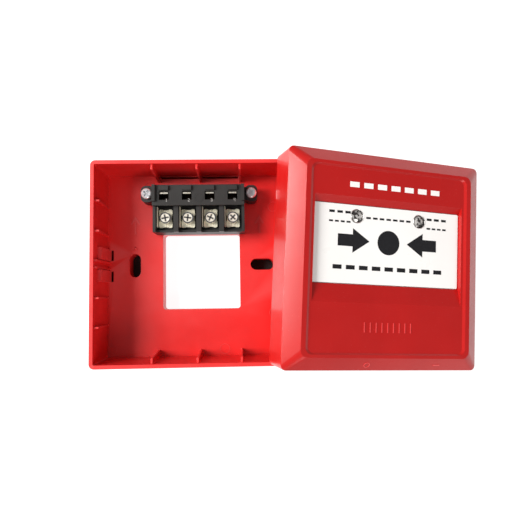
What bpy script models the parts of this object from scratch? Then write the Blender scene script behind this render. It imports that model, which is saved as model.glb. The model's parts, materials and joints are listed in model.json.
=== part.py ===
"""Manual fire call point, opened for wiring: a back box lying face up and the front unit leaning on its wall.

Lengths are millimetres, turned into metres when a mesh is made. +Z is up, out of the box's face.
"""

import math

import bmesh
import bpy
from mathutils import Matrix, Vector

MM = 0.001
GAP = 0.3

# Outline shared by both halves.
HALF = 49.0
WALL = 1.8
INNER = HALF - WALL
CORNER = 2.4
CORNER_STEPS = 5

# Back box.
BOX_DEPTH = 33.0
PLATE_BACK = 8.0
PLATE_TOP = 10.0
DRAFT = 0.8
WINDOW_CENTRE = (1.4, -3.2)
WINDOW_HALF = (19.7, 19.4)
WINDOW_CORNER = 1.5
WINDOW_SKIRT = 1.6
RIB_X = (-20.3, 1.1, 21.7)
RIB_THICK = 0.9
RIB_REACH = (4.4, 2.6)
SIDE_RIB_Y = (30.0, 15.6, -16.2, -30.0)
SIDE_RIB_REACH = (1.1, 2.3)
FIX_X = 32.6
FIX_HALF_WIDTH = 2.9
FIX_HALF_LENGTH = 6.0
VENT_Y = 46.0
VENT_HALF = 0.5
SNAP_X = 44.9
SNAP_Y = 5.4
SNAP_PAD = 45.1
SNAP_RIB_Y = 1.7
SNAP_RIB_REACH = (2.0, 1.2)

# Terminal block.
BLOCK_X = 1.2
BLOCK_HALF = 22.6
BLOCK_FRONT = 15.7
BLOCK_STEP = 29.5
BLOCK_BACK = 38.7
BLOCK_FOOT = PLATE_TOP + GAP
CELL_FLOOR = 17.0
CELL_TOP = 23.0
STRIP_TOP = 25.0
PITCH = 11.2
WAYS = 4
CELL_HALF = 4.4
CLIP_Y = 33.3
CLIP_POCKET_HALF = (2.4, 2.1)
CLIP_POCKET_FLOOR = 15.0
SCREW_Y = 23.0
EAR_Y = 35.4
EAR_OFFSET = 26.1
EAR_HALF = (3.1, 4.15)
EAR_TOP = 19.0

# Front unit, in its own frame: u to the right, v up, n out of the face, from the middle of its rear edge.
SKIRT = 16.5
RIDGE_TOP = 21.1
RIDGE_OUT = (42.0, 43.0)
RIDGE_IN = (39.8, 41.6)
FACE_HALF = (38.6, 40.9)
FACE = 20.4
CEILING = 16.6
OPENING_U = 37.5
OPENING_V = (-10.8, 25.1)
SLOPE_V = (-19.0, 28.0)
PLATE_FACE = 18.0
PLATE_THICK = 1.8
FLANGE_GROW = 1.5
FLANGE_BACK = 14.9
LENS_U = 16.0
LENS_V = 19.9
LENS_RADIUS = 2.9
BOARD_BACK = 6.0
BOARD_FACE = 7.6
SWITCH_V = 7.0
SWITCH_TOP = 12.0
SPRING_U = 30.0
BOSS_OFFSET = 42.0
JACK_U = -8.0
KEY_U = 25.5
EDGE_N = 9.0
BARREL_RADIUS = 3.2
PIN_ORBIT = 2.0
FLANGE_N = (1.8, 3.4)
REAR_HALF = INNER - GAP - 0.1
HOUSING_U = (-28.0, 42.0)
HOUSING_V = (-37.0, 12.0)
HOUSING_WALL = 1.6
BLADE_TIP = -10.0

# How the front unit leans: its rear edge lies over the box's right wall and its housing meets the table.
LEAN = math.radians(14.4)
YAW = math.radians(-3.3)
LEAN_POINT = (84.2, -1.7, 25.2)
HOUSING_DEPTH = (LEAN_POINT[2] - HOUSING_U[1] * math.sin(LEAN) - GAP) / math.cos(LEAN)

MATERIALS = {
    "red_plastic": ((0.62, 0.015, 0.018, 1), 0.4, 0.0),
    "black_plastic": ((0.012, 0.012, 0.014, 1), 0.45, 0.0),
    "white_plastic": ((0.85, 0.85, 0.84, 1), 0.35, 0.0),
    "brass": ((0.75, 0.6, 0.32, 1), 0.3, 1.0),
    "steel": ((0.7, 0.7, 0.7, 1), 0.3, 1.0),
    "clear_plastic": ((0.85, 0.87, 0.88, 0.4), 0.08, 0.0),
    "led_epoxy": ((0.8, 0.2, 0.15, 1), 0.2, 0.0),
    "board_laminate": ((0.02, 0.16, 0.06, 1), 0.5, 0.0),
}


def clear_scene():
    for obj in list(bpy.data.objects):
        bpy.data.objects.remove(obj, do_unlink=True)


def material(name):
    made = bpy.data.materials.get(name)
    if made:
        return made
    colour, roughness, metallic = MATERIALS[name]
    made = bpy.data.materials.new(name)
    made.use_nodes = True
    shader = made.node_tree.nodes["Principled BSDF"]
    shader.inputs["Base Color"].default_value = colour
    shader.inputs["Roughness"].default_value = roughness
    shader.inputs["Metallic"].default_value = metallic
    made.diffuse_color = colour
    return made


def finish(name, bm, at=(0, 0, 0), slot=None):
    """Turns a bmesh drawn in millimetres about the point at into an object whose origin is that point."""
    bmesh.ops.recalc_face_normals(bm, faces=bm.faces)
    bmesh.ops.scale(bm, vec=(MM, MM, MM), verts=bm.verts)
    mesh = bpy.data.meshes.new(name)
    bm.to_mesh(mesh)
    bm.free()
    obj = bpy.data.objects.new(name, mesh)
    obj.location = Vector(at) * MM
    bpy.context.scene.collection.objects.link(obj)
    if slot:
        mesh.materials.append(material(slot))
    return obj


def rounded(half_u, half_v, radius, centre=(0, 0)):
    """Outline of a rectangle with round corners, anticlockwise."""
    outline = []
    for quarter, (side_u, side_v) in enumerate(((1, 1), (-1, 1), (-1, -1), (1, -1))):
        for step in range(CORNER_STEPS + 1):
            angle = math.radians(90 * (quarter + step / CORNER_STEPS))
            u = centre[0] + side_u * (half_u - radius) + radius * math.cos(angle)
            v = centre[1] + side_v * (half_v - radius) + radius * math.sin(angle)
            outline.append((u, v))
    return outline


def circle(radius, count=28, centre=(0, 0)):
    angles = [2 * math.pi * step / count for step in range(count)]
    return [(centre[0] + radius * math.cos(a), centre[1] + radius * math.sin(a)) for a in angles]


def loft(levels):
    """A closed body through outlines of equal length, each with its height, capped at both ends."""
    bm = bmesh.new()
    rings = [[bm.verts.new((x, y, z)) for x, y in outline] for outline, z in levels]
    for low, high in zip(rings, rings[1:]):
        for index in range(len(low)):
            after = (index + 1) % len(low)
            bm.faces.new((low[index], low[after], high[after], high[index]))
    bm.faces.new(rings[0][::-1])
    bm.faces.new(rings[-1])
    return bm


def prism(outline, low, high):
    return loft([(outline, low), (outline, high)])


def block(low, high):
    """A box between two corners."""
    outline = [(low[0], low[1]), (high[0], low[1]), (high[0], high[1]), (low[0], high[1])]
    return prism(outline, low[2], high[2])


def turned(bm, axis):
    """Turns a body drawn along Z to lie along X or Y."""
    angle, about = {"X": (math.pi / 2, "Y"), "Y": (-math.pi / 2, "X")}[axis]
    bmesh.ops.rotate(bm, matrix=Matrix.Rotation(angle, 3, about), verts=bm.verts)
    return bm


def lathe(steps, count=28):
    """A solid of revolution through (radius, height) steps."""
    return loft([(circle(radius, count), height) for radius, height in steps])


def combine(target, bm, operation="DIFFERENCE", at=(0, 0, 0)):
    """Cuts or joins a body, drawn in the same frame as the target, and leaves one mesh."""
    tool = finish("tool", bm, at)
    modifier = target.modifiers.new(operation, "BOOLEAN")
    modifier.operation = operation
    modifier.solver = "EXACT"
    modifier.object = tool
    bpy.context.view_layer.update()
    bpy.context.view_layer.objects.active = target
    bpy.ops.object.modifier_apply(modifier=modifier.name)
    bpy.data.objects.remove(tool, do_unlink=True)
    return target


def join(target, bm, at=(0, 0, 0)):
    return combine(target, bm, "UNION", at)


def soften(obj, width=0.3, segments=2, angle=32):
    modifier = obj.modifiers.new("soft_edges", "BEVEL")
    modifier.width = width * MM
    modifier.segments = segments
    modifier.limit_method = "ANGLE"
    modifier.angle_limit = math.radians(angle)
    modifier.use_clamp_overlap = True
    return obj


def smooth(obj, angle=35):
    obj.data.shade_smooth()
    obj.data.set_sharp_from_angle(angle=math.radians(angle))
    return obj


def mirrored(sign, low, high):
    """Two limits, mirrored about zero when sign is negative, in rising order."""
    return tuple(sorted((sign * low, sign * high)))


def wall_rib(axis, side, place, reach):
    """A thin rib on a wall, with its own reach at the floor and at the rim."""
    levels = []
    for depth, z in zip(reach, (PLATE_TOP - 1, BOX_DEPTH - 1.2)):
        near, far = mirrored(side, INNER - depth, INNER + WALL / 2)
        thin = (place - RIB_THICK / 2, place + RIB_THICK / 2)
        (x0, x1), (y0, y1) = ((near, far), thin) if axis == "X" else (thin, (near, far))
        levels.append(([(x0, y0), (x1, y0), (x1, y1), (x0, y1)], z))
    return loft(levels)


def back_box():
    outer = rounded(HALF, HALF, CORNER)
    inner_low = rounded(INNER - DRAFT, INNER - DRAFT, CORNER - WALL)
    inner = rounded(INNER, INNER, CORNER - WALL)
    levels = [(inner, PLATE_BACK), (inner, 0), (outer, 0), (outer, BOX_DEPTH), (inner, BOX_DEPTH)]
    obj = finish("back_box", loft(levels + [(inner_low, PLATE_TOP)]), slot="red_plastic")
    skirt_half = [half + WINDOW_SKIRT for half in WINDOW_HALF]
    skirt = rounded(*skirt_half, WINDOW_CORNER + WINDOW_SKIRT, WINDOW_CENTRE)
    join(obj, prism(skirt, 0.6, PLATE_BACK + 1))
    boss = FIX_HALF_WIDTH + WINDOW_SKIRT
    run = FIX_HALF_LENGTH + WINDOW_SKIRT
    join(obj, prism(rounded(boss, run, boss, (-FIX_X, 0)), 0.6, PLATE_BACK + 1))
    join(obj, prism(rounded(run, boss, boss, (FIX_X, 0)), 0.6, PLATE_BACK + 1))
    for side in (1, -1):
        for x in RIB_X:
            join(obj, wall_rib("Y", side, x, RIB_REACH))
        for y in SIDE_RIB_Y:
            join(obj, wall_rib("X", side, y, SIDE_RIB_REACH))
        for y in (SNAP_RIB_Y, -SNAP_RIB_Y):
            join(obj, wall_rib("X", side, y, SNAP_RIB_REACH))
        for end in (SNAP_Y, -SNAP_Y):
            x = mirrored(side, SNAP_PAD, INNER + WALL / 2)
            join(obj, block((x[0], end - 2.9, PLATE_TOP - 1), (x[1], end + 2.9, BOX_DEPTH - 6)))
    combine(obj, prism(rounded(*WINDOW_HALF, WINDOW_CORNER, WINDOW_CENTRE), -1, PLATE_TOP + 1))
    hole = (FIX_HALF_WIDTH, FIX_HALF_LENGTH, FIX_HALF_WIDTH)
    combine(obj, prism(rounded(*hole, (-FIX_X, 0)), -1, PLATE_TOP + 1))
    combine(obj, prism(rounded(hole[1], hole[0], hole[2], (FIX_X, 0)), -1, PLATE_TOP + 1))
    for left, right in zip(RIB_X, RIB_X[1:]):
        low = (left + RIB_THICK, VENT_Y - 2 * VENT_HALF, PLATE_BACK - 1)
        combine(obj, block(low, (right - RIB_THICK, VENT_Y, PLATE_TOP + 1)))
    for side in (1, -1):
        for end in (SNAP_Y, -SNAP_Y):
            x = mirrored(side, SNAP_X - 1.3, SNAP_X)
            combine(obj, block((x[0], end - 2.7, PLATE_BACK - 1), (x[1], end + 2.7, PLATE_TOP + 1)))
    return smooth(obj)


def cells():
    return [(way + 1, BLOCK_X + PITCH * (way - (WAYS - 1) / 2)) for way in range(WAYS)]


def terminal_block():
    left, right = BLOCK_X - BLOCK_HALF, BLOCK_X + BLOCK_HALF
    body = block((left, BLOCK_FRONT, BLOCK_FOOT), (right, BLOCK_STEP, CELL_TOP))
    obj = finish("terminal_block", body, slot="black_plastic")
    join(obj, block((left, BLOCK_STEP - 1, BLOCK_FOOT), (right, BLOCK_BACK, STRIP_TOP)))
    for side in (1, -1):
        ear_x = BLOCK_X + side * EAR_OFFSET
        join(obj, prism(rounded(*EAR_HALF, 2.4, (ear_x, EAR_Y)), BLOCK_FOOT, EAR_TOP))
        reach = mirrored(side, BLOCK_HALF - 1, EAR_OFFSET)
        low = (BLOCK_X + reach[0], EAR_Y - 3.3, BLOCK_FOOT)
        join(obj, block(low, (BLOCK_X + reach[1], EAR_Y + 3.3, EAR_TOP - 0.6)))
        combine(obj, prism(circle(1.7, 20, (ear_x, EAR_Y)), BLOCK_FOOT - 1, EAR_TOP + 1))
        post = mirrored(side, BLOCK_HALF - 1.6, BLOCK_HALF)
        low = (BLOCK_X + post[0], BLOCK_STEP + 1, STRIP_TOP - 1)
        join(obj, block(low, (BLOCK_X + post[1], BLOCK_BACK, STRIP_TOP + 1.4)))
    for _, x in cells():
        low, high = (x - CELL_HALF, BLOCK_FRONT + 1.1, CELL_FLOOR), (x + CELL_HALF, BLOCK_STEP, CELL_TOP + 1)
        combine(obj, block(low, high))
        combine(obj, block((x - CELL_HALF, BLOCK_FRONT - 1, 20.4), (x + CELL_HALF, BLOCK_STEP, CELL_TOP + 1)))
        combine(obj, prism(circle(1.9, 20, (x, SCREW_Y)), BLOCK_FOOT + 1.2, CELL_FLOOR + 1))
        pocket_u, pocket_v = CLIP_POCKET_HALF
        low = (x - pocket_u, CLIP_Y - pocket_v, CLIP_POCKET_FLOOR)
        combine(obj, block(low, (x + pocket_u, CLIP_Y + pocket_v, STRIP_TOP + 1)))
        low, high = (x - 2.3, CLIP_Y + 2.6, STRIP_TOP - 0.5), (x + 2.3, BLOCK_BACK - 0.4, STRIP_TOP + 1.2)
        join(obj, block(low, high))
    return smooth(soften(obj, 0.2, 1))


def screw(name, at, head, shank, turn=0.0, slot="steel"):
    """A pan-head screw standing along Z with its seat at the origin, and a cross recess in its head."""
    radius, height = head
    steps = [(shank[0] * 0.6, -shank[1]), (shank[0], -shank[1] + 0.8), (shank[0], 0), (radius, 0)]
    steps += [(radius, height * 0.55), (radius * 0.93, height * 0.82), (radius * 0.76, height)]
    obj = finish(name, lathe(steps), at, slot)
    for quarter in (0, 1):
        arm = block((-radius * 0.62, -0.42, height * 0.42), (radius * 0.62, 0.42, height + 1))
        bmesh.ops.rotate(arm, matrix=Matrix.Rotation(turn + quarter * math.pi / 2, 3, "Z"), verts=arm.verts)
        combine(obj, arm, at=at)
    return smooth(obj)


def clamp_plate(name, at):
    """A wire clamp: a square plate with waisted sides and a round hole."""
    width, length, dip = 3.4, 4.7, 0.3
    quarter = [(width, 1.7), (width, length - 0.5), (width - 0.5, length), (1.6, length), (1.2, length - dip)]
    right = [(width - dip, 1.2)] + quarter
    top = [(-u, v) for u, v in reversed(right)]
    upper = right + top
    outline = upper + [(-u, -v) for u, v in upper]
    obj = finish(name, prism(outline, 0, 1.0), at, "brass")
    combine(obj, prism(circle(1.9, 20), -1, 2), at=at)
    return smooth(soften(obj, 0.15, 1))


def contact_clip(name, x):
    """A folded clip, open upwards for a blade: a tall leaf, a foot and a short leaf."""
    at = (x, CLIP_Y, CLIP_POCKET_FLOOR + GAP)
    obj = finish(name, block((-1.9, -1.5, 0), (1.9, 1.7, 9.2)), at, "brass")
    combine(obj, block((-3, -1.0, 0.5), (3, 1.0, 10)), at=at)
    combine(obj, block((-3, -2.0, 4.5), (3, 0, 10)), at=at)
    return smooth(obj)


def wiring():
    """The pieces that stay in the back box."""
    made = [back_box(), terminal_block()]
    for way, x in cells():
        made.append(contact_clip(f"contact_clip_{way}", x))
        made.append(clamp_plate(f"clamp_plate_{way}", (x, SCREW_Y - 0.1, CELL_FLOOR + GAP)))
        at = (x, SCREW_Y, CELL_FLOOR + 1.0 + 2 * GAP)
        made.append(screw(f"terminal_screw_{way}", at, (2.9, 2.3), (1.55, 5.8), 0.5 - 0.31 * way, "brass"))
    for name, side in (("block_screw_left", -1), ("block_screw_right", 1)):
        at = (BLOCK_X + side * EAR_OFFSET, EAR_Y, EAR_TOP + GAP)
        made.append(screw(name, at, (2.7, 1.9), (1.4, 7.8), 0.6 * side))
    return made


def front_cover():
    outer = rounded(HALF, HALF, CORNER)
    inner = rounded(INNER, INNER, CORNER - WALL)
    levels = [
        (rounded(39.4, 41.0, 2.0), CEILING),
        (inner, 14.8),
        (inner, 0),
        (outer, 0),
        (outer, SKIRT),
        (rounded(*RIDGE_OUT, 3.4), RIDGE_TOP),
        (rounded(*RIDGE_IN, 3.0), RIDGE_TOP),
        (rounded(*FACE_HALF, 2.6), FACE),
    ]
    obj = finish("front_cover", loft(levels), slot="red_plastic")
    for u in (BOSS_OFFSET, -BOSS_OFFSET):
        for v in (BOSS_OFFSET, -BOSS_OFFSET):
            join(obj, prism(circle(3.6, 20, (u, v)), FLANGE_N[1] + GAP, 16.6))
            combine(obj, prism(circle(1.7, 16, (u, v)), FLANGE_N[1] - 1, 11.0))
    opening = [(-OPENING_U, OPENING_V[0]), (OPENING_U, OPENING_V[0])]
    opening += [(OPENING_U, OPENING_V[1]), (-OPENING_U, OPENING_V[1])]
    combine(obj, prism(opening, CEILING - 2, RIDGE_TOP + 1))
    for edge, rim in zip(OPENING_V, SLOPE_V):
        inward = edge + (1 if rim < edge else -1)
        wedge = [(rim, FACE + 0.02), (rim, FACE + 0.5), (inward, FACE + 0.5)]
        wedge += [(inward, PLATE_FACE), (edge, PLATE_FACE)]
        body = loft([([(n, v) for v, n in wedge], -OPENING_U), ([(n, v) for v, n in wedge], OPENING_U)])
        bmesh.ops.transform(body, matrix=Matrix(((0, 0, 1), (0, 1, 0), (1, 0, 0))).to_4x4(), verts=body.verts)
        combine(obj, body)
    for u, radius in ((JACK_U, 5.0), (KEY_U, BARREL_RADIUS + GAP)):
        combine(obj, turned(prism(circle(radius), -3, 3), "Y"), at=(u, -HALF + WALL / 2, EDGE_N))
    return smooth(soften(obj, 0.5, 2, 20))


def press_plate():
    """The plate that is pressed in: a face in the opening and a wider flange behind it."""
    middle = sum(OPENING_V) / 2
    tall = (OPENING_V[1] - OPENING_V[0]) / 2
    at = (0, middle, PLATE_FACE)
    face_back = PLATE_FACE - PLATE_THICK
    plate = prism(rounded(OPENING_U - GAP, tall - GAP, 0.6), face_back - PLATE_FACE, 0)
    obj = finish("press_plate", plate, at, "white_plastic")
    flange = rounded(OPENING_U + 1.2, tall + FLANGE_GROW, 1.0)
    join(obj, prism(flange, FLANGE_BACK - PLATE_FACE, face_back - PLATE_FACE + 0.1), at)
    for side in (1, -1):
        combine(obj, prism(circle(LENS_RADIUS + 0.35), -6, 1), at=(side * LENS_U, LENS_V, PLATE_FACE))
    return smooth(obj)


def lens(name, u):
    """A clear dome, open at the board side."""
    at = (u, LENS_V, BOARD_FACE + GAP)
    tall = PLATE_FACE + 0.3 - at[2]
    steps = [(0.5, tall - 1.6), (1.7, tall - 2.0), (2.2, tall - 3.0), (2.2, 0), (LENS_RADIUS, 0)]
    steps += [(LENS_RADIUS, tall - 1.1), (2.5, tall - 0.5), (1.7, tall - 0.1), (0.6, tall)]
    return smooth(finish(name, lathe(steps), at, "clear_plastic"), 60)


def light(name, u):
    """A small round light with a domed end."""
    at = (u, LENS_V, BOARD_FACE + GAP)
    steps = [(1.8, 0), (1.8, 0.7), (1.5, 0.7), (1.5, 4.2), (1.2, 5.1), (0.6, 5.6)]
    return smooth(finish(name, lathe(steps, 20), at, "led_epoxy"), 50)


def spring(name, u):
    """A coil between the board and the plate."""
    coil, wire, turns, sides, around = 2.2, 0.35, 4.5, 6, 12
    low, high = BOARD_FACE + GAP + wire, FLANGE_BACK - GAP - wire
    count = int(turns * around)
    bm = bmesh.new()
    rings = []
    for step in range(count + 1):
        angle = 2 * math.pi * step / around
        middle = Vector((coil * math.cos(angle), coil * math.sin(angle), (high - low) * step / count))
        out = Vector((math.cos(angle), math.sin(angle), 0))
        ring = []
        for side in range(sides):
            about = 2 * math.pi * side / sides
            offset = math.cos(about) * out + math.sin(about) * Vector((0, 0, 1))
            ring.append(bm.verts.new(middle + wire * offset))
        rings.append(ring)
    for first, second in zip(rings, rings[1:]):
        for side in range(sides):
            after = (side + 1) % sides
            bm.faces.new((first[side], first[after], second[after], second[side]))
    bm.faces.new(rings[0])
    bm.faces.new(rings[-1])
    return smooth(finish(name, bm, (u, SWITCH_V, low), "steel"), 70)


def circuit():
    """The board and what stands on it."""
    face = BOARD_FACE + GAP
    board = prism(rounded(37.5, 35.7, 1.5, (0, 1.7)), BOARD_BACK, BOARD_FACE)
    made = [finish("circuit_board", board, slot="board_laminate")]
    chip_body = block((-4.5, -4.5, 0), (4.5, 4.5, 1.6))
    chip = finish("processor_chip", chip_body, (-22, -22, face), "black_plastic")
    made.append(soften(chip, 0.2, 1))
    large, small = ((-31, 31, face), (3.1, 6.5)), ((-8, -26, face), (2.2, 5.0))
    cans = (("capacitor_large", *large), ("capacitor_small", *small))
    for name, at, size in cans:
        steps = [(size[0] - 0.3, 0), (size[0], 0.4), (size[0], size[1] - 0.4), (size[0] - 0.3, size[1])]
        made.append(smooth(finish(name, lathe(steps, 24), at, "black_plastic")))
    case = block((-6.5, -3.2, 0), (6.5, 3.2, SWITCH_TOP - face))
    switch = finish("micro_switch", case, (0, SWITCH_V, face), "black_plastic")
    combine(switch, prism(circle(1.4, 20), 0.8, 9), at=(0, SWITCH_V, face))
    made.append(soften(switch, 0.2, 1))
    foot = face + 3.2
    tip = FLANGE_BACK - GAP - foot
    steps = [(1.1, 0), (1.1, tip - 0.3), (0.8, tip)]
    made.append(smooth(finish("switch_plunger", lathe(steps, 20), (0, SWITCH_V, foot), "white_plastic")))
    return made


def reset_parts():
    """The key barrel in the lower edge, and the slide that its pin moves."""
    at = (KEY_U, -HALF, EDGE_N)
    steps = [(BARREL_RADIUS - 0.3, -0.3), (BARREL_RADIUS, 0), (BARREL_RADIUS, 10.5)]
    barrel = finish("reset_barrel", turned(lathe(steps), "Y"), at, "steel")
    join(barrel, turned(lathe([(0.8, 10.0), (0.8, 12.2)], 16), "Y"), (KEY_U + PIN_ORBIT, -HALF, EDGE_N))
    combine(barrel, block((-0.6, -1, -1.9), (0.6, 4.5, 1.9)), at=at)
    combine(barrel, block((-1.3, -1, -0.8), (1.3, 4.5, 0.8)), at=at)
    low, high = -HALF + 10.5 + GAP, -HALF + 12.0 + GAP
    slide = finish("latch_slide", block((9.0, low, 5.4), (32.5, high, 12.6)), slot="white_plastic")
    pin_u = KEY_U + PIN_ORBIT
    combine(slide, block((pin_u - 1.4, low - 1, 7.4), (pin_u + 1.4, high + 1, 12.0)))
    join(slide, block((9.0, high - 0.5, 11.0), (12.0, OPENING_V[0], 12.6)))
    return [smooth(barrel), smooth(slide)]


def phone_jack():
    low, high = -HALF + 3.4, -HALF + 14.0
    housing = block((JACK_U - 5.8, low, 3.9), (JACK_U + 5.8, high, 14.4))
    body = finish("jack_body", housing, slot="black_plastic")
    combine(body, turned(prism(circle(3.3), -1, 8), "Y"), at=(JACK_U, low, EDGE_N))
    at = (JACK_U, -HALF - 0.4, EDGE_N)
    steps = [(3.4, 2.9), (3.4, 0), (4.2, 0), (4.5, 0.3), (4.5, 2.6), (5.2, 2.7), (5.2, 3.3), (3.4, 3.3)]
    bm = bmesh.new()
    rings = [[bm.verts.new((x, y, z)) for x, y in circle(radius)] for radius, z in steps]
    for low_ring, high_ring in zip(rings, rings[1:] + rings[:1]):
        for index in range(len(low_ring)):
            after = (index + 1) % len(low_ring)
            bm.faces.new((low_ring[index], low_ring[after], high_ring[after], high_ring[index]))
    return [soften(body, 0.3, 1), smooth(finish("jack_bushing", turned(bm, "Y"), at, "steel"))]


def rear_cover():
    """The plate that closes the front unit's back, with a housing that reaches into the box."""
    flange = prism(rounded(REAR_HALF, REAR_HALF, 2.2), *FLANGE_N)
    obj = finish("rear_cover", flange, slot="red_plastic")
    low, high = zip(HOUSING_U, HOUSING_V)
    middle = [(a + b) / 2 for a, b in (HOUSING_U, HOUSING_V)]
    half = [(b - a) / 2 for a, b in (HOUSING_U, HOUSING_V)]
    join(obj, prism(rounded(*half, 2.5, middle), -HOUSING_DEPTH, FLANGE_N[1] - 0.5))
    hollow = rounded(half[0] - HOUSING_WALL, half[1] - HOUSING_WALL, 1.2, middle)
    combine(obj, prism(hollow, HOUSING_WALL - HOUSING_DEPTH, FLANGE_N[1] + 1))
    rise = BOARD_BACK - GAP
    for at, foot in (((33, 32), 3), ((-33, 32), 3), ((-33, -29), 3), ((33, -29), 0.8 - HOUSING_DEPTH)):
        join(obj, prism(circle(2.2, 16, at), foot, rise))
    for u in (BOSS_OFFSET, -BOSS_OFFSET):
        for v in (BOSS_OFFSET, -BOSS_OFFSET):
            combine(obj, prism(circle(1.8, 16, (u, v)), 0, 5))
    for _, x in cells():
        combine(obj, block((x - 2.6, CLIP_Y - 0.8, 0), (x + 2.6, CLIP_Y + 0.8, 5)))
    return smooth(soften(obj, 0.25, 1, 40))


def contact_blade(name, x):
    """A flat blade that reaches from the board's back into a clip of the terminal block."""
    at = (x, CLIP_Y, 0)
    tall = BOARD_BACK - GAP
    outline = [(-2.2, tall), (-2.2, BLADE_TIP + 1.2), (-1.4, BLADE_TIP)]
    outline += [(-u, v) for u, v in reversed(outline)]
    blade = prism(outline, -0.4, 0.4)
    bmesh.ops.rotate(blade, matrix=Matrix.Rotation(math.pi / 2, 3, "X"), verts=blade.verts)
    return finish(name, blade, at, "brass")


def front_unit():
    """The pieces that come off with the front, drawn in the front unit's frame."""
    made = [front_cover(), press_plate(), lens("alarm_lens", -LENS_U), lens("phone_lens", LENS_U)]
    made += [light("alarm_light", -LENS_U), light("phone_light", LENS_U)]
    made += [spring("plate_spring_left", -SPRING_U), spring("plate_spring_right", SPRING_U)]
    made += circuit() + reset_parts() + phone_jack() + [rear_cover()]
    made += [contact_blade(f"contact_blade_{way}", x) for way, x in cells()]
    corners = [(-1, 1), (1, 1), (1, -1), (-1, -1)]
    for number, (side_u, side_v) in enumerate(corners, 1):
        at = (side_u * BOSS_OFFSET, side_v * BOSS_OFFSET, 1.8 - GAP)
        made.append(rear_screw(f"rear_screw_{number}", at))
    return made


def rear_screw(name, at):
    """A screw driven from behind, so its head looks along -n."""
    obj = screw(name, (0, 0, 0), (2.6, 1.4), (1.35, 7.5))
    obj.data.transform(Matrix.Rotation(math.pi, 4, "X"))
    obj.location = Vector(at) * MM
    return obj


def lean(objects):
    turned = Matrix.Rotation(YAW, 4, "Z") @ Matrix.Rotation(LEAN, 4, "Y")
    frame = Matrix.Translation(Vector(LEAN_POINT) * MM) @ turned
    for obj in objects:
        obj.matrix_world = frame @ Matrix.Translation(obj.location)


def centre_on_origin(objects):
    """Moves the whole so that the middle of its foot is the world origin."""
    bpy.context.view_layer.update()
    graph = bpy.context.evaluated_depsgraph_get()
    corners = []
    for obj in objects:
        evaluated = obj.evaluated_get(graph)
        corners += [evaluated.matrix_world @ vertex.co for vertex in evaluated.data.vertices]
    low = [min(corner[axis] for corner in corners) for axis in range(3)]
    high = [max(corner[axis] for corner in corners) for axis in range(3)]
    shift = Vector(((low[0] + high[0]) / 2, (low[1] + high[1]) / 2, low[2]))
    for obj in objects:
        obj.location -= shift


def main():
    clear_scene()
    boxed = wiring()
    loose = front_unit()
    lean(loose)
    centre_on_origin(boxed + loose)


main()
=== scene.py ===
"""Looks of an opened manual fire call point: shells, marks, metal parts and a plain studio."""

import json
import math

import bmesh
import bpy
from bpy.props import FloatProperty, FloatVectorProperty, IntProperty, PointerProperty
from mathutils import Matrix, Vector


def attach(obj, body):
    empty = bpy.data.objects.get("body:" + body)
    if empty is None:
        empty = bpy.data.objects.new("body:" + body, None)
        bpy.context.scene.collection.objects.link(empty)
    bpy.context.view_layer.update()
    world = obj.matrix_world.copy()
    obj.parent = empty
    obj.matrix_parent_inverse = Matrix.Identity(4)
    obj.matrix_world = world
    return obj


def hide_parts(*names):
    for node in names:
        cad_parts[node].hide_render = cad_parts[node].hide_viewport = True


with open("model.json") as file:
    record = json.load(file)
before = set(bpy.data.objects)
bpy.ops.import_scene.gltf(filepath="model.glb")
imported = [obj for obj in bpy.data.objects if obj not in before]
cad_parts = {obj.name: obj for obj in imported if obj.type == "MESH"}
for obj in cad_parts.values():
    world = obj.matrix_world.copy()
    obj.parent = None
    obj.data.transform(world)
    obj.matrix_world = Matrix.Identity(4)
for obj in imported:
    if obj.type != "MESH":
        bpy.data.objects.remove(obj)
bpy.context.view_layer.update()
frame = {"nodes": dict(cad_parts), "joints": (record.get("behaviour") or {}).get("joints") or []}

bl_info = {
    "name": "Call Point Looks",
    "version": (1, 0, 0),
    "blender": (4, 5, 0),
    "location": "View3D > Sidebar > Call Point",
    "description": "Builds the shells, marks and studio of an opened manual fire call point",
    "category": "Object",
}

MM = 0.001
JOINTS = {joint["name"]: joint for joint in frame["joints"]}

# Places in the halves' own millimetres that tie each half to a joint.
KEY_PLACE = Vector((25.5, -49.0, 9.0))
FIRST_SCREW_PLACE = Vector((-15.6, 23.0, 17.6))

# Places on the back box, in its own millimetres.
BOX_FLOOR = 10.0
BOX_HALF = 48.7
WINDOW_CENTRE = (1.4, -3.2)
WINDOW_HALF = (19.7, 19.4)
CAMERA_OVER = (23.11, -15.48)
# Heights on the contact clips over which their painted shade, near-black inside the block, gives way to plated
# colour.
CLIP_PAINTED_SHADE_EDGE = (23.6, 24.2)
BLOCK_TOP = 25.0
SCREW_ROW = 23.0
CELL_X = (-15.6, -4.4, 6.8, 18.0)
FLOOR_ARROWS = ((-32.4, 20.8), (31.6, 20.8))
EJECTOR_RINGS = (
    (12.9, -43.0, 2.6), (-44.0, -42.4, 2.2), (-25.0, 41.8, 2.2), (38.6, 30.0, 2.6), (38.5, -25.0, 2.6),
)

# Places on the front unit, in its own millimetres.
PLATE_FACE = 18.0
COVER_FACE = 20.4
ARROW_V = 8.8
LENS_PLACES = (("alarm", -16.0), ("phone", 16.0))
LENS_V = 19.9
PRINT_THICK = 0.05
PRINT_LIFT = 0.02


def box_frame():
    """Millimetres of the back box to metres of the scene."""
    origin = Vector(JOINTS["terminal_screw_1_turn"]["pos_m"]) - FIRST_SCREW_PLACE * MM
    return Matrix.Translation(origin) @ Matrix.Scale(MM, 4)


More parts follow.
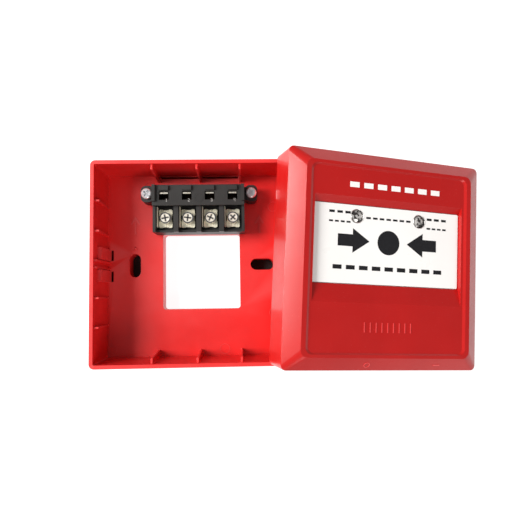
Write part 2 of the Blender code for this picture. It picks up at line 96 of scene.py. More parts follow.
def front_frame():
    """Millimetres of the front unit (u right, v up, n out of its face) to metres of the scene."""
    u_axis = -Vector(JOINTS["latch_move"]["axis"])
    v_axis = -Vector(JOINTS["reset_turn"]["axis"])
    n_axis = -Vector(JOINTS["plate_press"]["axis"])
    turn = Matrix((u_axis, v_axis, n_axis)).transposed()
    origin = Vector(JOINTS["reset_turn"]["pos_m"]) - turn @ (KEY_PLACE * MM)
    return Matrix.Translation(origin) @ turn.to_4x4() @ Matrix.Scale(MM, 4)


BOX = box_frame()
FRONT = front_frame()


# ---------------------------------------------------------------- settings


class ShellSettings(bpy.types.PropertyGroup):
    edge: FloatProperty(
        name="Edge radius", description="Rounding of the moulded edges", default=0.00035, unit="LENGTH"
    )
    box_red: FloatVectorProperty(
        name="Box red", description="Colour of the back box",
        default=(0.68, 0.013, 0.012), subtype="COLOR",
    )
    cover_red: FloatVectorProperty(
        name="Cover red", description="Colour of the front cover",
        default=(0.43, 0.008, 0.007), subtype="COLOR",
    )
    black: FloatVectorProperty(
        name="Block black", description="Colour of the terminal block",
        default=(0.022, 0.021, 0.020), subtype="COLOR",
    )


class PrintSettings(bpy.types.PropertyGroup):
    heading_dashes: IntProperty(
        name="Heading", description="Plain dashes on the upper face", default=7, min=1
    )
    order_dashes: IntProperty(
        name="Order", description="Plain dashes below the arrows", default=9, min=1
    )
    white: FloatVectorProperty(
        name="Plate white", description="Colour of the press plate",
        default=(0.90, 0.89, 0.87), subtype="COLOR",
    )
    ink: FloatVectorProperty(
        name="Ink", description="Colour of the dark print",
        default=(0.014, 0.014, 0.016), subtype="COLOR",
    )


class StageSettings(bpy.types.PropertyGroup):
    camera_height: FloatProperty(
        name="Camera height", description="Height of the camera over the table",
        default=0.26825, unit="LENGTH",
    )
    view_angle: FloatProperty(
        name="View angle", description="Field of view of the camera",
        default=math.radians(54.95), subtype="ANGLE",
    )
    key_distance: FloatProperty(
        name="Key distance", description="From the table's middle to the large soft light",
        default=1.5, unit="LENGTH",
    )
    key_size: FloatProperty(
        name="Key size", description="Side of the large soft light", default=0.7, unit="LENGTH"
    )
    key_power: FloatProperty(name="Key power", description="Power of the large soft light", default=30.0)
    sky: FloatProperty(name="Sky", description="Strength of the even light", default=0.27)
    fill_power: FloatProperty(name="Fill power", description="Power of the light from below", default=6.0)
    rim_power: FloatProperty(name="Rim power", description="Power of the low light at the left", default=6.5)
    table_glow: FloatProperty(
        name="Table glow", description="Brightness that the table gives by itself", default=0.92
    )


# ---------------------------------------------------------------- material tools


class Recipe:
    """A node material with short ways to add what plastics and metals need."""

    def __init__(self, name):
        self.material = bpy.data.materials.new(name)
        self.material.use_nodes = True
        self.tree = self.material.node_tree
        self.shader = self.tree.nodes["Principled BSDF"]
        self.place = self.tree.nodes.new("ShaderNodeTexCoord").outputs["Object"]

    def add(self, kind, **values):
        node = self.tree.nodes.new(kind)
        for key, value in values.items():
            if key in node.inputs:
                node.inputs[key].default_value = value
            else:
                setattr(node, key, value)
        return node

    def link(self, source, target):
        self.tree.links.new(source, target)

    def noise(self, scale, detail=3.0, rough=0.5, stretch=None):
        node = self.add("ShaderNodeTexNoise", Scale=scale, Detail=detail, Roughness=rough)
        source = self.place
        if stretch:
            mapping = self.add("ShaderNodeMapping", Scale=stretch)
            self.link(source, mapping.inputs["Vector"])
            source = mapping.outputs["Vector"]
        self.link(source, node.inputs["Vector"])
        return node.outputs["Fac"]

    def cells(self, scale, feature="F1"):
        node = self.add("ShaderNodeTexVoronoi", Scale=scale)
        node.feature = feature
        self.link(self.place, node.inputs["Vector"])
        return node.outputs["Distance"]

    def spread(self, source, low, high, out_low=0.0, out_high=1.0):
        node = self.add("ShaderNodeMapRange")
        limits = {"From Min": low, "From Max": high, "To Min": out_low, "To Max": out_high}
        for key, value in limits.items():
            node.inputs[key].default_value = value
        self.link(source, node.inputs["Value"])
        return node.outputs["Result"]

    def blend(self, factor, first, second, mode="MIX"):
        node = self.add("ShaderNodeMix", data_type="RGBA", blend_type=mode)
        self.link(factor, node.inputs["Factor"])
        for source, socket in ((first, node.inputs[6]), (second, node.inputs[7])):
            if hasattr(source, "is_output"):
                self.link(source, socket)
            else:
                socket.default_value = (*source, 1.0)
        return node.outputs[2]

    def edges(self, low=0.5, high=0.62):
        """A factor that is one on outer edges."""
        geometry = self.add("ShaderNodeNewGeometry")
        return self.spread(geometry.outputs["Pointiness"], low, high)

    def inside(self, centre, half, soft):
        """A factor that is one within a rectangle seen from above, and falls off over a soft edge."""
        shifted = self.add("ShaderNodeVectorMath", operation="SUBTRACT")
        self.link(self.place, shifted.inputs[0])
        shifted.inputs[1].default_value = (*centre, 0.0)
        sized = self.add("ShaderNodeVectorMath", operation="ABSOLUTE")
        self.link(shifted.outputs[0], sized.inputs[0])
        axes = self.add("ShaderNodeSeparateXYZ")
        self.link(sized.outputs[0], axes.inputs[0])
        product = self.add("ShaderNodeMath", operation="MULTIPLY")
        for slot, reach in enumerate(half):
            within = self.spread(axes.outputs[slot], reach - soft, reach + soft, 1.0, 0.0)
            self.link(within, product.inputs[slot])
        return product.outputs[0]

    def under_box(self):
        """Mask of the floor's painted shade: one under the box's floor, and zero below its window and on the open
        table.
        """
        box, window = (BOX @ Vector(point) for point in ((0, 0, 0), (*WINDOW_CENTRE, 0)))
        shade = self.add("ShaderNodeMath", operation="SUBTRACT", use_clamp=True)
        self.link(self.inside(box.xy, (BOX_HALF * MM, BOX_HALF * MM), 0.15 * MM), shade.inputs[0])
        reach = tuple((half + 1.2) * MM for half in WINDOW_HALF)
        self.link(self.inside(window.xy, reach, 0.2 * MM), shade.inputs[1])
        return shade.outputs[0]

    def bump(self, height, strength, distance, below=None):
        node = self.add("ShaderNodeBump", Strength=strength, Distance=distance)
        self.link(height, node.inputs["Height"])
        if below:
            self.link(below, node.inputs["Normal"])
        return node.outputs["Normal"]

    def finish(self, colour, rough, normal, **values):
        self.link(colour, self.shader.inputs["Base Color"])
        self.link(rough, self.shader.inputs["Roughness"])
        self.link(normal, self.shader.inputs["Normal"])
        for key, value in values.items():
            self.shader.inputs[key.replace("_", " ")].default_value = value
        return self.material


def shade(colour, factor):
    return tuple(min(1.0, part * factor) for part in colour)


MADE = {}


def kept(function):
    """Makes each material once."""

    def once():
        if function.__name__ not in MADE:
            MADE[function.__name__] = function()
        return MADE[function.__name__]

    return once


def moulded(name, colour, rough, grain, depth, edge_paleness=0.28, **values):
    """Injection-moulded plastic: slow colour drift, faint dust, paler outer edges, fine grain over a gentle wave.
    """
    recipe = Recipe(name)
    drift = recipe.spread(recipe.noise(38.0, 4.0), 0.35, 0.68)
    base = recipe.blend(drift, shade(colour, 0.94), shade(colour, 1.03))
    flow = recipe.spread(recipe.noise(160.0, 5.0, 0.6, (1.0, 0.25, 1.0)), 0.5, 0.8, 0.0, 0.14)
    base = recipe.blend(flow, base, shade(colour, 0.8))
    dust = recipe.spread(recipe.noise(2400.0, 2.0), 0.71, 0.8, 0.0, 0.22)
    pale = tuple(0.55 * part + 0.4 for part in colour)
    base = recipe.blend(dust, base, pale)
    edge = recipe.spread(recipe.edges(), 0.0, 1.0, 0.0, edge_paleness)
    base = recipe.blend(edge, base, tuple(0.8 * part + 0.12 for part in colour))
    haze = recipe.spread(recipe.noise(90.0, 5.0, 0.6), 0.3, 0.75, rough - 0.06, rough + 0.08)
    wave = recipe.bump(recipe.noise(55.0, 2.0), 0.12, 0.0006)
    normal = recipe.bump(recipe.noise(grain, 3.0, 0.6), depth, 0.00012, wave)
    return recipe.finish(base, haze, normal, **values)


@kept
def box_plastic():
    colour = tuple(bpy.context.scene.call_point_shell.box_red)
    return moulded(
        "box_red_plastic", colour, 0.36, 2600.0, 0.12,
        Specular_IOR_Level=0.5, Coat_Weight=0.08, Coat_Roughness=0.25,
    )


@kept
def cover_plastic():
    colour = tuple(bpy.context.scene.call_point_shell.cover_red)
    return moulded(
        "cover_red_plastic", colour, 0.36, 1900.0, 0.22, 0.03,
        Specular_IOR_Level=0.14, Coat_Weight=0.5, Coat_Roughness=0.16,
    )


@kept
def rear_plastic():
    colour = shade(tuple(bpy.context.scene.call_point_shell.cover_red), 0.95)
    return moulded("rear_red_plastic", colour, 0.45, 2600.0, 0.2)


@kept
def block_plastic():
    colour = tuple(bpy.context.scene.call_point_shell.black)
    return moulded("block_black_plastic", colour, 0.42, 2300.0, 0.25, 0.02, Specular_IOR_Level=0.3)


@kept
def part_plastic():
    return moulded("part_black_plastic", (0.02, 0.02, 0.022), 0.5, 2800.0, 0.2)


@kept
def slide_plastic():
    return moulded(
        "slide_white_plastic", (0.74, 0.73, 0.69), 0.45, 2500.0, 0.15,
        Subsurface_Weight=0.05, Subsurface_Scale=0.002,
    )


@kept
def plate_plastic():
    colour = tuple(bpy.context.scene.call_point_print.white)
    recipe = Recipe("plate_white_plastic")
    drift = recipe.spread(recipe.noise(30.0, 3.0), 0.35, 0.7)
    base = recipe.blend(drift, colour, shade(colour, 0.965))
    specks = recipe.spread(recipe.noise(1900.0, 2.0), 0.74, 0.8, 0.0, 0.25)
    base = recipe.blend(specks, base, (0.5, 0.47, 0.43))
    haze = recipe.spread(recipe.noise(120.0, 4.0), 0.3, 0.7, 0.26, 0.38)
    normal = recipe.bump(recipe.noise(1700.0, 2.0), 0.06, 0.0001)
    return recipe.finish(base, haze, normal, Specular_IOR_Level=0.45)


@kept
def dark_ink():
    colour = tuple(bpy.context.scene.call_point_print.ink)
    recipe = Recipe("dark_ink")
    thin = recipe.spread(recipe.noise(900.0, 3.0), 0.45, 0.85, 0.0, 0.5)
    base = recipe.blend(thin, colour, shade(colour, 1.7))
    haze = recipe.spread(recipe.noise(300.0, 3.0), 0.3, 0.7, 0.42, 0.6)
    normal = recipe.bump(recipe.noise(1500.0), 0.08, 0.00005)
    return recipe.finish(base, haze, normal, Specular_IOR_Level=0.15)


@kept
def white_ink():
    recipe = Recipe("white_ink")
    thin = recipe.spread(recipe.noise(1100.0, 3.0), 0.5, 0.85, 0.0, 0.45)
    base = recipe.blend(thin, (0.88, 0.86, 0.84), (0.78, 0.55, 0.52))
    haze = recipe.spread(recipe.noise(300.0, 3.0), 0.3, 0.7, 0.4, 0.58)
    return recipe.finish(base, haze, recipe.bump(recipe.noise(1500.0), 0.1, 0.00005))


@kept
def mark_ink():
    recipe = Recipe("block_mark_ink")
    thin = recipe.spread(recipe.noise(1500.0, 3.0), 0.45, 0.75, 0.0, 0.8)
    base = recipe.blend(thin, (0.42, 0.41, 0.39), (0.1, 0.1, 0.1))
    haze = recipe.spread(recipe.noise(500.0), 0.3, 0.7, 0.5, 0.7)
    return recipe.finish(base, haze, recipe.bump(recipe.noise(1500.0), 0.1, 0.00005))


def metal(name, colour, stain, rough, brushed, metallic=1.0):
    """Plated metal: rolled streaks, stains in patches, pits and brighter rubbed edges."""
    recipe = Recipe(name)
    patches = recipe.spread(recipe.noise(420.0, 4.0, 0.6), 0.42, 0.75)
    base = recipe.blend(patches, colour, stain)
    rubbed = recipe.spread(recipe.edges(0.5, 0.58), 0.0, 1.0, 0.0, 0.6)
    base = recipe.blend(rubbed, base, shade(colour, 1.15))
    streaks = recipe.noise(1500.0, 3.0, 0.6, brushed)
    haze = recipe.spread(streaks, 0.3, 0.7, rough - 0.08, rough + 0.12)
    fine = recipe.bump(streaks, 0.25, 0.00004)
    normal = recipe.bump(recipe.noise(700.0, 2.0), 0.18, 0.00006, fine)
    return recipe.finish(base, haze, normal, Metallic=metallic)


@kept
def pale_brass():
    return metal("pale_plated_brass", (0.98, 0.90, 0.70), (0.80, 0.68, 0.46), 0.24, (1.0, 0.12, 1.0), 0.3)


@kept
def clip_brass():
    """Plated strip with painted shade: near-black where it goes down inside the block, plated colour above."""
    recipe = Recipe("clip_plated_brass")
    axes = recipe.add("ShaderNodeSeparateXYZ")
    recipe.link(recipe.place, axes.inputs[0])
    above_painted_shade = recipe.spread(axes.outputs["Z"], CLIP_PAINTED_SHADE_EDGE[0] * MM, CLIP_PAINTED_SHADE_EDGE[1] * MM)
    patches = recipe.spread(recipe.noise(420.0, 4.0, 0.6), 0.42, 0.75)
    plated = recipe.blend(patches, (0.86, 0.82, 0.72), (0.62, 0.55, 0.42))
    # Painted shade: below this band the strip is painted near-black where it goes down inside the block.
    base = recipe.blend(above_painted_shade, (0.055, 0.035, 0.025), plated)
    haze = recipe.spread(recipe.noise(1500.0, 3.0, 0.6), 0.3, 0.7, 0.2, 0.4)
    normal = recipe.bump(recipe.noise(700.0, 2.0), 0.2, 0.00006)
    return recipe.finish(base, haze, normal, Metallic=0.85)


@kept
def screw_nickel():
    return metal("screw_nickel", (0.94, 0.89, 0.78), (0.74, 0.64, 0.48), 0.2, (1.0, 1.0, 0.3), 0.4)


@kept
def bright_steel():
    return metal("bright_steel", (0.88, 0.89, 0.91), (0.62, 0.64, 0.68), 0.18, (1.0, 1.0, 0.3), 0.65)


@kept
def spring_wire():
    return metal("spring_wire", (0.52, 0.51, 0.50), (0.34, 0.32, 0.3), 0.32, (0.3, 0.3, 1.0))


@kept
def clear_resin():
    """Lens resin with painted reflection and painted shade: its colour swings in noise swirls between near-black
    and silver, in place of the dark rim and silvery reflections of a faceted lens.
    """
    recipe = Recipe("clear_lens_resin")
    # Painted reflection: silver and near-black base colour stand in for the reflections and shade in the lens.
    painted_reflection_bands = recipe.spread(recipe.noise(620.0, 1.0, 0.4), 0.44, 0.56)
    base = recipe.blend(painted_reflection_bands, (0.05, 0.045, 0.042), (0.80, 0.78, 0.75))
    haze = recipe.spread(recipe.noise(700.0, 3.0), 0.3, 0.7, 0.05, 0.14)
    normal = recipe.bump(recipe.noise(480.0, 1.0), 0.35, 0.0004)
    return recipe.finish(
        base, haze, normal, Transmission_Weight=0.25, IOR=1.5, Metallic=0.35, Coat_Weight=0.5
    )


@kept
def light_resin():
    recipe = Recipe("light_resin")
    tint = recipe.spread(recipe.noise(300.0, 2.0), 0.3, 0.7)
    base = recipe.blend(tint, (0.62, 0.12, 0.10), (0.75, 0.3, 0.26))
    haze = recipe.spread(recipe.noise(500.0), 0.3, 0.7, 0.12, 0.22)
    return recipe.finish(base, haze, recipe.bump(recipe.noise(900.0), 0.1, 0.0001), Transmission_Weight=0.35)


@kept
def board_laminate():
    """Lacquered board with a mesh of tracks under the lacquer."""
    recipe = Recipe("board_laminate")
    tracks = recipe.spread(recipe.cells(230.0, "DISTANCE_TO_EDGE"), 0.06, 0.1)
    base = recipe.blend(tracks, (0.05, 0.26, 0.10), (0.012, 0.11, 0.035))
    pads = recipe.spread(recipe.cells(260.0), 0.0, 0.18, 1.0, 0.0)
    base = recipe.blend(pads, base, (0.62, 0.6, 0.55))
    haze = recipe.spread(recipe.noise(600.0), 0.3, 0.7, 0.22, 0.36)
    return recipe.finish(base, haze, recipe.bump(tracks, 0.3, 0.00005), Coat_Weight=0.3)


@kept
def studio_floor():
    recipe = Recipe("studio_floor")
    drift = recipe.spread(recipe.noise(6.0, 2.0), 0.3, 0.7)
    base = recipe.blend(drift, (0.22, 0.22, 0.22), (0.19, 0.19, 0.19))
    haze = recipe.spread(recipe.noise(40.0), 0.3, 0.7, 0.6, 0.75)
    normal = recipe.bump(recipe.noise(300.0), 0.02, 0.0002)
    # Painted shade: under the box's floor the table is painted near-black and its glow falls to zero, in place of
    # the shade there; below the window it stays white.
    under_box_painted_shade = recipe.under_box()
    base = recipe.blend(under_box_painted_shade, base, (0.012, 0.009, 0.008))
    glow = recipe.spread(under_box_painted_shade, 0.0, 1.0, bpy.context.scene.call_point_stage.table_glow, 0.0)
    recipe.link(glow, recipe.shader.inputs["Emission Strength"])
    return recipe.finish(base, haze, normal, Emission_Color=(1.0, 1.0, 1.0, 1.0))


# ---------------------------------------------------------------- mesh tools


def smooth(mesh, degrees):
    mesh.shade_smooth()
    mesh.set_sharp_from_angle(angle=math.radians(degrees))


def piece(name, bm, matrix, body, material, stands_for=(), degrees=32.0):
    """Places a drawn shape in the scene and ties it to its CAD body."""
    bm.transform(matrix)
    bmesh.ops.recalc_face_normals(bm, faces=bm.faces)
    mesh = bpy.data.meshes.new(name)
    bm.to_mesh(mesh)
    bm.free()
    mesh.materials.append(material)
    smooth(mesh, degrees)
    obj = bpy.data.objects.new(name, mesh)
    bpy.context.scene.collection.objects.link(obj)
    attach(obj, body)
    if stands_for:
        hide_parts(*stands_for)
    return obj


def soft_copy(node, width, segments, degrees=30.0):
    """A copy of a CAD node with its triangles merged to whole faces and its sharp edges rounded."""
    bm = bmesh.new()
    bm.from_mesh(frame["nodes"][node].data)
    bmesh.ops.remove_doubles(bm, verts=bm.verts, dist=2e-6)
    bmesh.ops.dissolve_limit(
        bm, angle_limit=math.radians(0.6), use_dissolve_boundaries=False,
        verts=bm.verts, edges=bm.edges, delimit=set(),
    )
    limit = math.radians(degrees)
    sharp = [
        edge for edge in bm.edges if len(edge.link_faces) == 2 and edge.calc_face_angle(0.0) > limit
    ]
    bmesh.ops.bevel(
        bm, geom=sharp, offset=width, offset_type="OFFSET", segments=segments, profile=0.5,
        affect="EDGES", clamp_overlap=True, material=-1,
    )
    return bm


def carry(node, material):
    """Gives a CAD node that stays visible its finish."""
    obj = frame["nodes"][node]
    obj.data.materials.clear()
    obj.data.materials.append(material)


def slab(bm, outline, low, high):
    """A flat shape with upright sides."""
    face = bm.faces.new([bm.verts.new((x, y, low)) for x, y in outline])
    grown = bmesh.ops.extrude_face_region(bm, geom=[face])
    top = [item for item in grown["geom"] if isinstance(item, bmesh.types.BMVert)]
    bmesh.ops.translate(bm, verts=top, vec=(0, 0, high - low))


def bar(bm, low, high, bottom, top):
    slab(bm, [(low[0], low[1]), (high[0], low[1]), (high[0], high[1]), (low[0], high[1])], bottom, top)


def arc(centre, radius, start, end, count):
    """Points on part of a circle, in degrees."""
    points = []
    for step in range(count + 1):
        angle = math.radians(start + (end - start) * step / count)
        points.append((centre[0] + radius * math.cos(angle), centre[1] + radius * math.sin(angle)))
    return points


def ring(bm, centre, radius, width, bottom, top, count=32):
    """A round flat ring made of two half strokes."""
    for start in (0, 180):
        outer = arc(centre, radius, start, start + 180, count // 2)
        inner = arc(centre, radius - width, start, start + 180, count // 2)
        slab(bm, outer + inner[::-1], bottom, top)


def disc(bm, centre, radius, bottom, top, count=48):
    slab(bm, arc(centre, radius, 0, 360 - 360 / count, count - 1), bottom, top)


def dash_row(bm, count, left, middle, width, height, bottom, top):
    """Plain dashes of one size, evenly spaced over a width, in place of any writing."""
    length = width / (1.5 * count - 0.5)
    for index in range(count):
        start = left + 1.5 * length * index
        bar(bm, (start, middle - height / 2), (start + length, middle + height / 2), bottom, top)


# ---------------------------------------------------------------- operators: back box


class CALLPOINT_OT_back_box(bpy.types.Operator):
    """Round the edges of the back box and give it its red plastic"""

    bl_idname = "callpoint.back_box"
    bl_label = "Back Box"

    def execute(self, context):
        settings = context.scene.call_point_shell
        bm = soft_copy("back_box", settings.edge, 2)
        still = Matrix.Identity(4)
        shell = piece("box_shell", bm, still, "back_box", box_plastic(), ("back_box",))
        flat = shell.modifiers.new("flat_faces", "WEIGHTED_NORMAL")
        flat.keep_sharp = True
        flat.weight = 80
        return {"FINISHED"}


class CALLPOINT_OT_box_marks(bpy.types.Operator):
    """Raise the moulding marks on the floor of the back box"""

    bl_idname = "callpoint.box_marks"
    bl_label = "Box Marks"

    def execute(self, context):
        low, high = BOX_FLOOR - 0.1, BOX_FLOOR + 0.22
        bm = bmesh.new()
        right_half = [(0.35, -4.5), (0.35, 2.2), (1.9, 0.4), (2.3, 0.9)]
        arrow = [(-0.35, -4.5), *right_half, (0, 4.6), (-2.3, 0.9), (-1.9, 0.4), (-0.35, 2.2)]
        for x, y in FLOOR_ARROWS:
            slab(bm, [(x + a, y + b) for a, b in arrow], low, high)
        piece("box_marks", bm, BOX, "back_box", box_plastic())
        bm = bmesh.new()
        for x, y, radius in EJECTOR_RINGS:
            ring(bm, (x, y), radius, 0.3, low, BOX_FLOOR + 0.2)
        piece("ejector_rings", bm, BOX, "back_box", box_plastic())
        bm = bmesh.new()
        bmesh.ops.create_uvsphere(bm, u_segments=24, v_segments=12, radius=0.75)
        bmesh.ops.scale(bm, vec=(1, 1, 0.75), verts=bm.verts)
        bmesh.ops.translate(bm, vec=(-32.3, 8.9, BOX_FLOOR), verts=bm.verts)
        piece("locating_dot", bm, BOX, "back_box", box_plastic(), degrees=60)
        return {"FINISHED"}


class CALLPOINT_OT_terminal_block(bpy.types.Operator):
    """Finish the terminal block and its metal parts, paint shade on the screw heads and mark its ways"""

    bl_idname = "callpoint.terminal_block"
    bl_label = "Terminal Block"

    def execute(self, context):
        carry("terminal_block", block_plastic())
        for way, x in enumerate(CELL_X, 1):
            bm = bmesh.new()
            number_marks(bm, way, x + 0.6, 30.2)
            piece(f"way_number_{way}", bm, BOX, "back_box", mark_ink())
        bm = bmesh.new()
        ring(bm, (1.6, 32.0), 2.1, 0.2, BLOCK_TOP - 0.1, BLOCK_TOP + 0.08)
        piece("block_ejector_ring", bm, BOX, "back_box", block_plastic())
        bm = bmesh.new()
        for x in CELL_X:
            bar(bm, (x - 4.15, 18.4), (x - 3.75, 28.6), 17.05, 20.6)
        bmesh.ops.bevel(
            bm, geom=bm.edges[:], offset=0.1, offset_type="OFFSET", segments=1, profile=0.5,
            affect="EDGES", material=-1,
        )
        piece("terminal_fins", bm, BOX, "back_box", pale_brass())
        screw = frame["nodes"]["terminal_screw_1"].data
        head_top = max(vertex.co.z for vertex in screw.vertices) / MM
        # Painted shade: a black ring on each head's outer band and a black cross in its slot, in place of the shade
        # around and inside the screw head.
        for way, x in enumerate(CELL_X, 1):
            bm = bmesh.new()
            ring(bm, (x, SCREW_ROW), 2.78, 0.6, head_top - 0.2, head_top + 0.03, 40)
            spin = Matrix.Rotation(0.5 - 0.31 * way, 2)
            for across, along in ((0.3, 1.45), (1.45, 0.3)):
                corners = [(-across, -along), (across, -along), (across, along), (-across, along)]
                outline = [tuple(spin @ Vector(corner) + Vector((x, SCREW_ROW))) for corner in corners]
                slab(bm, outline, head_top - 0.5, head_top + 0.02)
            body = f"terminal_screw_{way}"
            piece(f"screw_painted_shade_{way}", bm, BOX, body, part_plastic())
        for way in range(1, len(CELL_X) + 1):
            carry(f"contact_clip_{way}", clip_brass())
            carry(f"clamp_plate_{way}", pale_brass())
            carry(f"terminal_screw_{way}", screw_nickel())
        for name in ("block_screw_left", "block_screw_right"):
            carry(name, bright_steel())
        return {"FINISHED"}


def number_marks(bm, way, x, y):
    """A small numeral by the way's clamp, made of strokes on a seven-bar grid."""
    tall, wide, line, low, high = 1.5, 0.8, 0.2, BLOCK_TOP - 0.1, BLOCK_TOP + 0.04
    bars = {
        "top": (0, tall - line, wide, tall),
        "middle": (0, tall / 2 - line / 2, wide, tall / 2 + line / 2),
        "foot": (0, 0, wide, line),
        "upper_left": (0, tall / 2, line, tall),
        "upper_right": (wide - line, tall / 2, wide, tall),
        "lower_left": (0, 0, line, tall / 2),
        "lower_right": (wide - line, 0, wide, tall / 2),
    }
    used = {
        1: ("upper_right", "lower_right"),
        2: ("top", "upper_right", "middle", "lower_left", "foot"),
        3: ("top", "upper_right", "middle", "lower_right", "foot"),
        4: ("upper_left", "upper_right", "middle", "lower_right"),
    }
    for key in used[way]:
        x0, y0, x1, y1 = bars[key]
        bar(bm, (x + x0, y + y0), (x + x1, y + y1), low, high)


# ---------------------------------------------------------------- operators: front unit


class CALLPOINT_OT_front_cover(bpy.types.Operator):
    """Give the front cover its grained plastic and raise its plain grip ribs, in the paler box red as a painted
    highlight
    """

    bl_idname = "callpoint.front_cover"
    bl_label = "Front Cover"

    def execute(self, context):
        carry("front_cover", cover_plastic())
        low, high = COVER_FACE - 0.15, COVER_FACE + 0.16
        bm = bmesh.new()
        for rib in range(9):
            left = -12.4 + 2.9 * rib
            bar(bm, (left, -31.8), (left + 0.45, -27.4), low, high)
        # Painted highlight: the ribs take the paler box red, not the cover's red, so they show as light lines.
        piece("grip_bars", bm, FRONT, "front_unit", box_plastic())
        return {"FINISHED"}


class CALLPOINT_OT_heading(bpy.types.Operator):
    """Print a row of plain dashes on the upper face"""

    bl_idname = "callpoint.heading"
    bl_label = "Heading"

    def execute(self, context):
        settings = context.scene.call_point_print
        low, high = COVER_FACE + PRINT_LIFT, COVER_FACE + PRINT_LIFT + PRINT_THICK
        bm = bmesh.new()
        dash_row(bm, settings.heading_dashes, -21.0, 33.6, 46.0, 2.4, low, high)
        piece("heading_dashes", bm, FRONT, "front_unit", white_ink())
        return {"FINISHED"}


class CALLPOINT_OT_press_plate(bpy.types.Operator):
    """Give the press plate its white plastic, arrows, dot and plain dashes"""

    bl_idname = "callpoint.press_plate"
    bl_label = "Press Plate"

    def execute(self, context):
        settings = context.scene.call_point_print
        carry("press_plate", plate_plastic())
        low, high = PLATE_FACE + PRINT_LIFT, PLATE_FACE + PRINT_LIFT + PRINT_THICK
        bm = bmesh.new()
        disc(bm, (0.2, ARROW_V), 5.6, low, high)
        piece("centre_dot", bm, FRONT, "press_plate", dark_ink())
        bm = bmesh.new()
        for side in (-1, 1):
            upper = [(25.2, 2.7), (17.9, 2.7), (17.9, 5.5), (9.6, 0)]
            outline = upper + [(17.9, -5.5), (17.9, -2.7), (25.2, -2.7)]
            slab(bm, [(0.1 + side * x, ARROW_V + y) for x, y in outline], low, high)
        piece("press_arrows", bm, FRONT, "press_plate", dark_ink())
        bm = bmesh.new()
        dash_row(bm, settings.order_dashes, -27.2, -3.3, 55.6, 1.9, low, high)
        piece("order_dashes", bm, FRONT, "press_plate", dark_ink())
        bm = bmesh.new()
        for left in (-29.6, 20.1):
            dash_row(bm, 3, left, 21.3, 10.4, 1.1, low, high)
            dash_row(bm, 4, left, 17.0, 10.4, 0.8, low, high)
        dash_row(bm, 7, -11.4, 19.5, 22.8, 0.9, low, high)
        piece("lens_dashes", bm, FRONT, "press_plate", dark_ink())
        return {"FINISHED"}


class CALLPOINT_OT_lenses(bpy.types.Operator):
    """Set the two lenses in bright rings"""

    bl_idname = "callpoint.lenses"
    bl_label = "Lenses"

    def execute(self, context):
        for name, u in LENS_PLACES:
            carry(f"{name}_lens", clear_resin())
            carry(f"{name}_light", light_resin())
            bm = bmesh.new()
            profile = [(2.93, 0, 17.2), (3.16, 0, 17.2), (3.16, 0, 18.15), (3.05, 0, 18.25), (2.93, 0, 18.15)]
            verts = [bm.verts.new(point) for point in profile]
            edges = [bm.edges.new(pair) for pair in zip(verts, verts[1:] + verts[:1])]
            bmesh.ops.spin(
                bm, geom=verts + edges, cent=(0, 0, 0), axis=(0, 0, 1), angle=2 * math.pi, steps=48,
                use_merge=True, use_normal_flip=False, use_duplicate=False,
            )
            bmesh.ops.remove_doubles(bm, verts=bm.verts, dist=0.001)
            bmesh.ops.translate(bm, vec=(u, LENS_V, 0), verts=bm.verts)
            piece(f"{name}_ring", bm, FRONT, "front_unit", spring_wire())
        return {"FINISHED"}


class CALLPOINT_OT_edge_signs(bpy.types.Operator):
    """Raise a plain ring by the telephone socket and a plain bar by the key on the lower bevel, in the paler box
    red as a painted highlight
    """

    bl_idname = "callpoint.edge_signs"
    bl_label = "Edge Signs"

    def execute(self, context):
        start, end = Vector((0, -49.0, 16.5)), Vector((0, -43.0, 21.1))
        up = (end - start).normalized()
        out = Vector((0, -up.z, up.y))
        bevel = Matrix((Vector((1, 0, 0)), up, out)).transposed().to_4x4()
        bevel.translation = start.lerp(end, 0.5)
        bm = bmesh.new()
        ring(bm, (-9.6, -0.3), 1.5, 0.4, -0.1, 0.14, 24)
        bar(bm, (24.4, -0.5), (27.8, 0), -0.1, 0.14)
        # Painted highlight: the signs take the paler box red, not the cover's red, so they show lighter.
        piece("edge_signs", bm, FRONT @ bevel, "front_unit", box_plastic())
        return {"FINISHED"}


class CALLPOINT_OT_inner_parts(bpy.types.Operator):
    """Finish the rear cover, the screws and what is inside the front unit"""

    bl_idname = "callpoint.inner_parts"
    bl_label = "Inner Parts"

    def execute(self, context):
        carry("rear_cover", rear_plastic())
        for number in range(1, 5):
            carry(f"rear_screw_{number}", bright_steel())
            carry(f"contact_blade_{number}", pale_brass())
        for name in ("plate_spring_left", "plate_spring_right"):
            carry(name, spring_wire())
        for name in ("processor_chip", "capacitor_large", "capacitor_small", "micro_switch", "jack_body"):
            carry(name, part_plastic())
        for name in ("switch_plunger", "latch_slide"):
            carry(name, slide_plastic())
        for name in ("reset_barrel", "jack_bushing"):
            carry(name, bright_steel())
        carry("circuit_board", board_laminate())
        return {"FINISHED"}


# ---------------------------------------------------------------- operator: studio


def area_light(name, place, side, power, colour):
    """A square soft light that faces the middle of the table."""
    data = bpy.data.lights.new(name, "AREA")
    data.shape = "RECTANGLE"
    data.size = data.size_y = side
    data.energy = power
    data.color = colour
    obj = bpy.data.objects.new(name, data)
    bpy.context.scene.collection.objects.link(obj)
    obj.location = place
    obj.rotation_euler = (-Vector(place)).to_track_quat("-Z", "Y").to_euler()


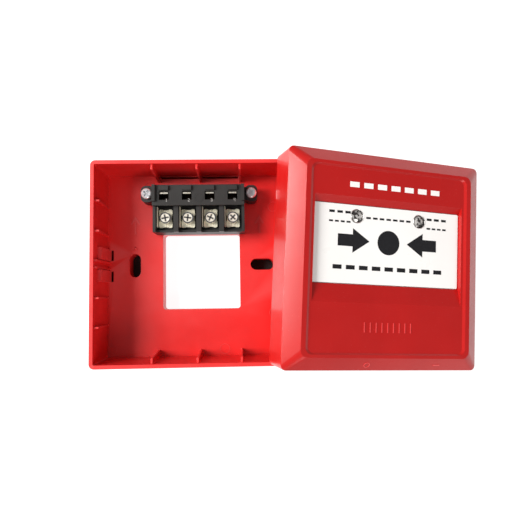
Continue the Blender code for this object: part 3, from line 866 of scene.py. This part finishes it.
class CALLPOINT_OT_studio(bpy.types.Operator):
    """Set the floor, the soft lights and the camera above the table"""

    bl_idname = "callpoint.studio"
    bl_label = "Studio"

    def execute(self, context):
        settings = context.scene.call_point_stage
        scene = context.scene
        bm = bmesh.new()
        bmesh.ops.create_grid(bm, x_segments=2, y_segments=2, size=3.0)
        mesh = bpy.data.meshes.new("floor")
        bm.to_mesh(mesh)
        bm.free()
        mesh.materials.append(studio_floor())
        floor = bpy.data.objects.new("floor", mesh)
        floor.location.z = -0.0004
        scene.collection.objects.link(floor)
        world = bpy.data.worlds.new("even_light")
        world.use_nodes = True
        background = world.node_tree.nodes["Background"]
        background.inputs["Color"].default_value = (1.0, 1.0, 1.0, 1.0)
        background.inputs["Strength"].default_value = settings.sky
        scene.world = world
        key = Vector((-0.70, 0.17, 0.70)).normalized() * settings.key_distance
        area_light("key_light", key, settings.key_size, settings.key_power, (1.0, 0.98, 0.96))
        area_light("fill_light", (0.42, -0.78, 0.72), 0.7, settings.fill_power, (1.0, 0.97, 0.95))
        area_light("rim_light", (-0.95, 0.02, 0.36), 0.25, settings.rim_power, (1.0, 0.96, 0.92))
        forward = Vector((0.03251, 0.06796, -0.99716)).normalized()
        up = Vector((0.01356, 0.99756, 0.06842))
        right = forward.cross(up).normalized()
        turn = Matrix((right, right.cross(forward), -forward)).transposed()
        data = bpy.data.cameras.new("camera")
        data.sensor_fit = "HORIZONTAL"
        data.angle = settings.view_angle
        data.clip_start = 0.005
        camera = bpy.data.objects.new("camera", data)
        place = BOX @ Vector((*CAMERA_OVER, 0))
        place.z = settings.camera_height
        camera.matrix_world = Matrix.Translation(place) @ turn.to_4x4()
        scene.collection.objects.link(camera)
        scene.camera = camera
        scene.view_settings.view_transform = "Standard"
        return {"FINISHED"}


# ---------------------------------------------------------------- panel and registration


OPERATORS = (
    CALLPOINT_OT_back_box,
    CALLPOINT_OT_box_marks,
    CALLPOINT_OT_terminal_block,
    CALLPOINT_OT_front_cover,
    CALLPOINT_OT_heading,
    CALLPOINT_OT_press_plate,
    CALLPOINT_OT_lenses,
    CALLPOINT_OT_edge_signs,
    CALLPOINT_OT_inner_parts,
    CALLPOINT_OT_studio,
)
SETTINGS = (
    ("call_point_shell", ShellSettings),
    ("call_point_print", PrintSettings),
    ("call_point_stage", StageSettings),
)


class CALLPOINT_PT_panel(bpy.types.Panel):
    """Lists the pieces and their settings"""

    bl_idname = "CALLPOINT_PT_panel"
    bl_label = "Call Point"
    bl_space_type = "VIEW_3D"
    bl_region_type = "UI"
    bl_category = "Call Point"

    def draw(self, context):
        layout = self.layout
        for name, group in SETTINGS:
            box = layout.box()
            for key in group.__annotations__:
                box.prop(getattr(context.scene, name), key)
        for operator in OPERATORS:
            layout.operator(operator.bl_idname)


def register():
    for name, group in SETTINGS:
        bpy.utils.register_class(group)
        setattr(bpy.types.Scene, name, PointerProperty(type=group))
    for item in (*OPERATORS, CALLPOINT_PT_panel):
        bpy.utils.register_class(item)


def unregister():
    for item in reversed((*OPERATORS, CALLPOINT_PT_panel)):
        bpy.utils.unregister_class(item)
    for name, group in reversed(SETTINGS):
        delattr(bpy.types.Scene, name)
        bpy.utils.unregister_class(group)


def main():
    register()
    for operator in OPERATORS:
        group, name = operator.bl_idname.split(".")
        getattr(getattr(bpy.ops, group), name)()
    bpy.context.view_layer.update()


if __name__ == "__main__":
    main()
